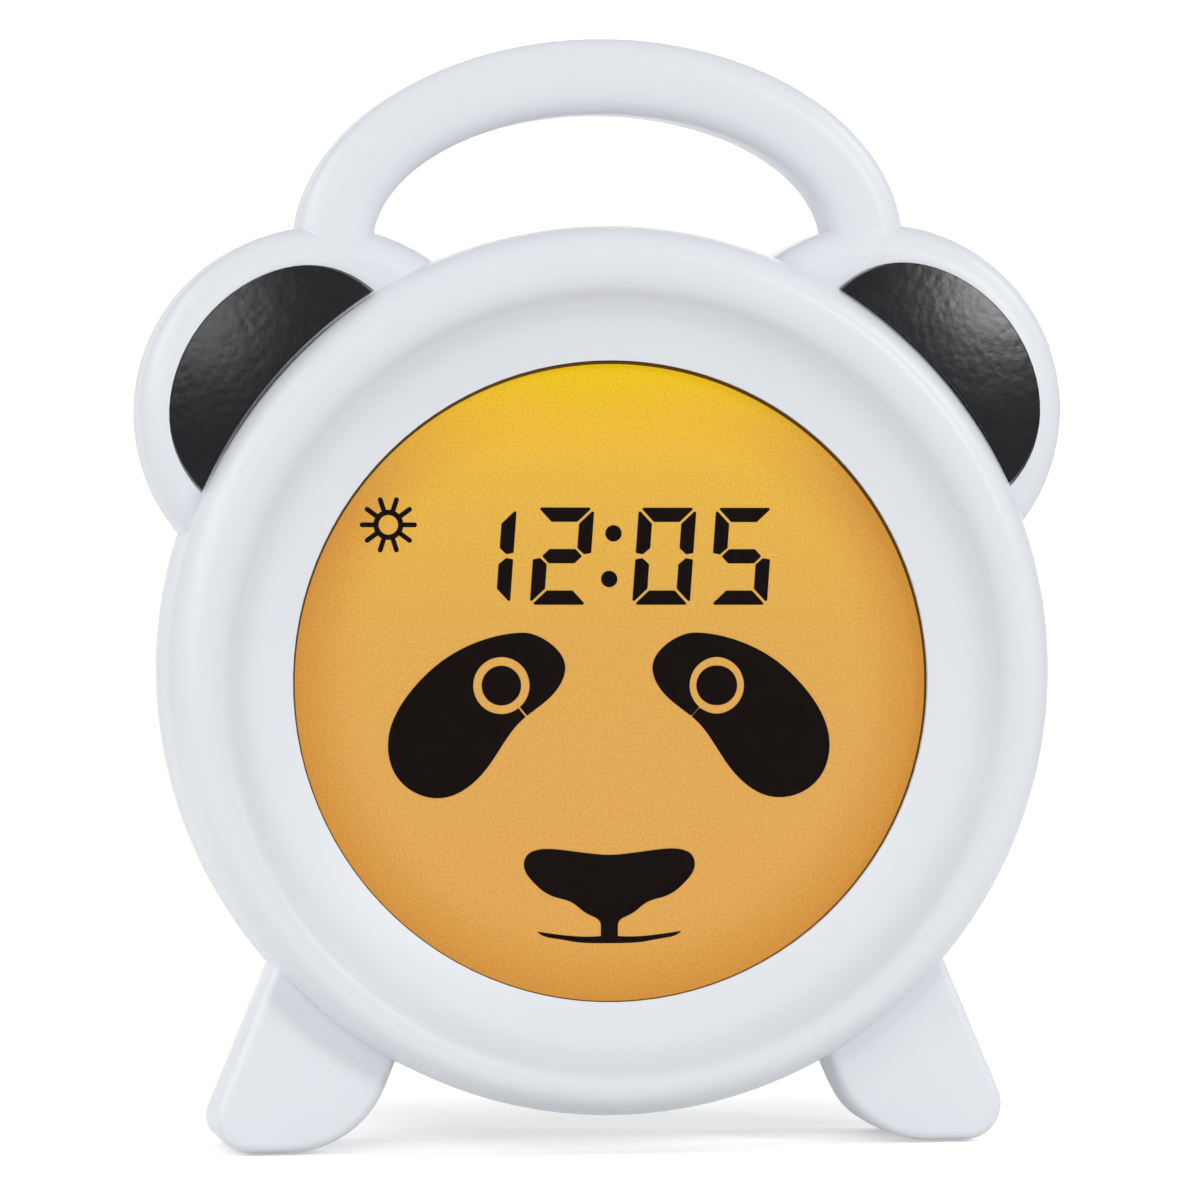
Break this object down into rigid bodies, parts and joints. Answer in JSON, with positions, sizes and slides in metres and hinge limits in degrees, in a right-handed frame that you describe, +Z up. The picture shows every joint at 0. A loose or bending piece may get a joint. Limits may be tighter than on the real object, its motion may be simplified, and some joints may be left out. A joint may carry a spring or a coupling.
{
  "type": "kids alarm clock with night light",
  "caption": "Round children's alarm clock with a lit face, panda ears, splayed feet and a carrying handle; keys, speaker and battery door at the back.",
  "frame": {"origin": "on the surface that the clock stands on, under the middle of its outline", "axes": "+Z up, +X to the right of someone who faces the display, +Y to the back"},
  "size_m": [0.143, 0.052, 0.1704],
  "materials": {
    "case_white": "satin, very fine grain",
    "ear_black": "satin over a fine leather grain",
    "pad_rubber": "matt",
    "clear_window": "clear, faint sheen",
    "display_amber": "backlit, yellow at the top to orange at the bottom",
    "segment_ink": "dark liquid crystal segments",
    "guide_clear": "translucent acrylic",
    "reflector_white": "matt white film",
    "tray_white": "matt",
    "lamp_amber": "moulded lamps",
    "board_green": "epoxy board with solder mask",
    "chip_black": "moulded epoxy",
    "capacitor_can": "sleeved cans",
    "plug_ivory": "matt nylon",
    "ribbon_amber": "polyimide film",
    "key_grey": "soft-touch, matt",
    "plunger_white": "matt nylon",
    "switch_black": "satin",
    "speaker_black": "matt black steel",
    "cone_paper": "pressed paper",
    "magnet_grey": "sintered ferrite",
    "gasket_black": "foam",
    "cell_jacket": "printed foil jacket, plain",
    "spring_steel": "nickel-plated",
    "screw_steel": "zinc-plated",
    "lead_red": "soft PVC",
    "lead_black": "soft PVC",
    "lead_grey": "soft PVC"
  },
  "bodies": {
    "case": {"front_shell": "case_white", "rear_shell": "case_white", "ear_insert_left": "ear_black", "ear_insert_right": "ear_black", "foot_pad_left": "pad_rubber", "foot_pad_right": "pad_rubber", "display_window": "clear_window", "lcd_panel": "display_amber", "display_segments": "segment_ink", "light_guide": "guide_clear", "reflector_sheet": "reflector_white", "display_frame": "tray_white", "backlight_leds": "lamp_amber", "led_board": "board_green", "main_board": "board_green", "key_board_left": "board_green", "key_board_right": "board_green", "board_chips": "chip_black", "board_capacitors": "capacitor_can", "board_plugs": "plug_ivory", "lcd_ribbon": "ribbon_amber", "key_switches": "switch_black", "switch_body": "switch_black", "power_socket": "switch_black", "speaker_frame": "speaker_black", "speaker_cone": "cone_paper", "speaker_magnet": "magnet_grey", "speaker_gasket": "gasket_black", "batteries": "cell_jacket", "contact_plates": "spring_steel", "battery_springs": "spring_steel", "case_screws": "screw_steel", "tray_screws": "screw_steel", "board_screws": "screw_steel", "key_board_screws": "screw_steel", "speaker_screws": "screw_steel", "speaker_leads": "lead_red", "lamp_leads": "lead_grey", "battery_leads": "lead_red", "key_leads": "lead_grey", "power_leads": "lead_black", "switch_leads": "lead_black"},
    "key_alarm": {"key_alarm": "key_grey", "plunger_alarm": "plunger_white"},
    "key_set": {"key_set": "key_grey", "plunger_set": "plunger_white"},
    "key_sound": {"key_sound": "key_grey", "plunger_sound": "plunger_white"},
    "key_light": {"key_light": "key_grey", "plunger_light": "plunger_white"},
    "key_up": {"key_up": "key_grey", "plunger_up": "plunger_white"},
    "key_down": {"key_down": "key_grey", "plunger_down": "plunger_white"},
    "night_switch": {"switch_knob": "key_grey"},
    "battery_door": {"battery_door": "case_white", "battery_door_screw": "screw_steel"}
  },
  "joints": [
    {"name": "key_alarm_press", "type": "slide", "parent": "case", "child": "key_alarm", "axis": [0, -1, 0], "range_m": [0, 0.0008], "stiffness_N_per_m": 1200, "springref_m": -0.0006},
    {"name": "key_set_press", "type": "slide", "parent": "case", "child": "key_set", "axis": [0, -1, 0], "range_m": [0, 0.0008], "stiffness_N_per_m": 1200, "springref_m": -0.0006},
    {"name": "key_sound_press", "type": "slide", "parent": "case", "child": "key_sound", "axis": [0, -1, 0], "range_m": [0, 0.0008], "stiffness_N_per_m": 1200, "springref_m": -0.0006},
    {"name": "key_light_press", "type": "slide", "parent": "case", "child": "key_light", "axis": [0, -1, 0], "range_m": [0, 0.0008], "stiffness_N_per_m": 1200, "springref_m": -0.0006},
    {"name": "key_up_press", "type": "slide", "parent": "case", "child": "key_up", "axis": [0, -1, 0], "range_m": [0, 0.0008], "stiffness_N_per_m": 1200, "springref_m": -0.0006},
    {"name": "key_down_press", "type": "slide", "parent": "case", "child": "key_down", "axis": [0, -1, 0], "range_m": [0, 0.0008], "stiffness_N_per_m": 1200, "springref_m": -0.0006},
    {"name": "night_switch_slide", "type": "slide", "parent": "case", "child": "night_switch", "axis": [0, 0, 1], "range_m": [0, 0.004]},
    {"name": "battery_door_hinge", "type": "hinge", "parent": "case", "child": "battery_door", "pos_m": [0, 0.0244, 0.03], "axis": [-1, 0, 0], "range_deg": [0, 75]}
  ]
}
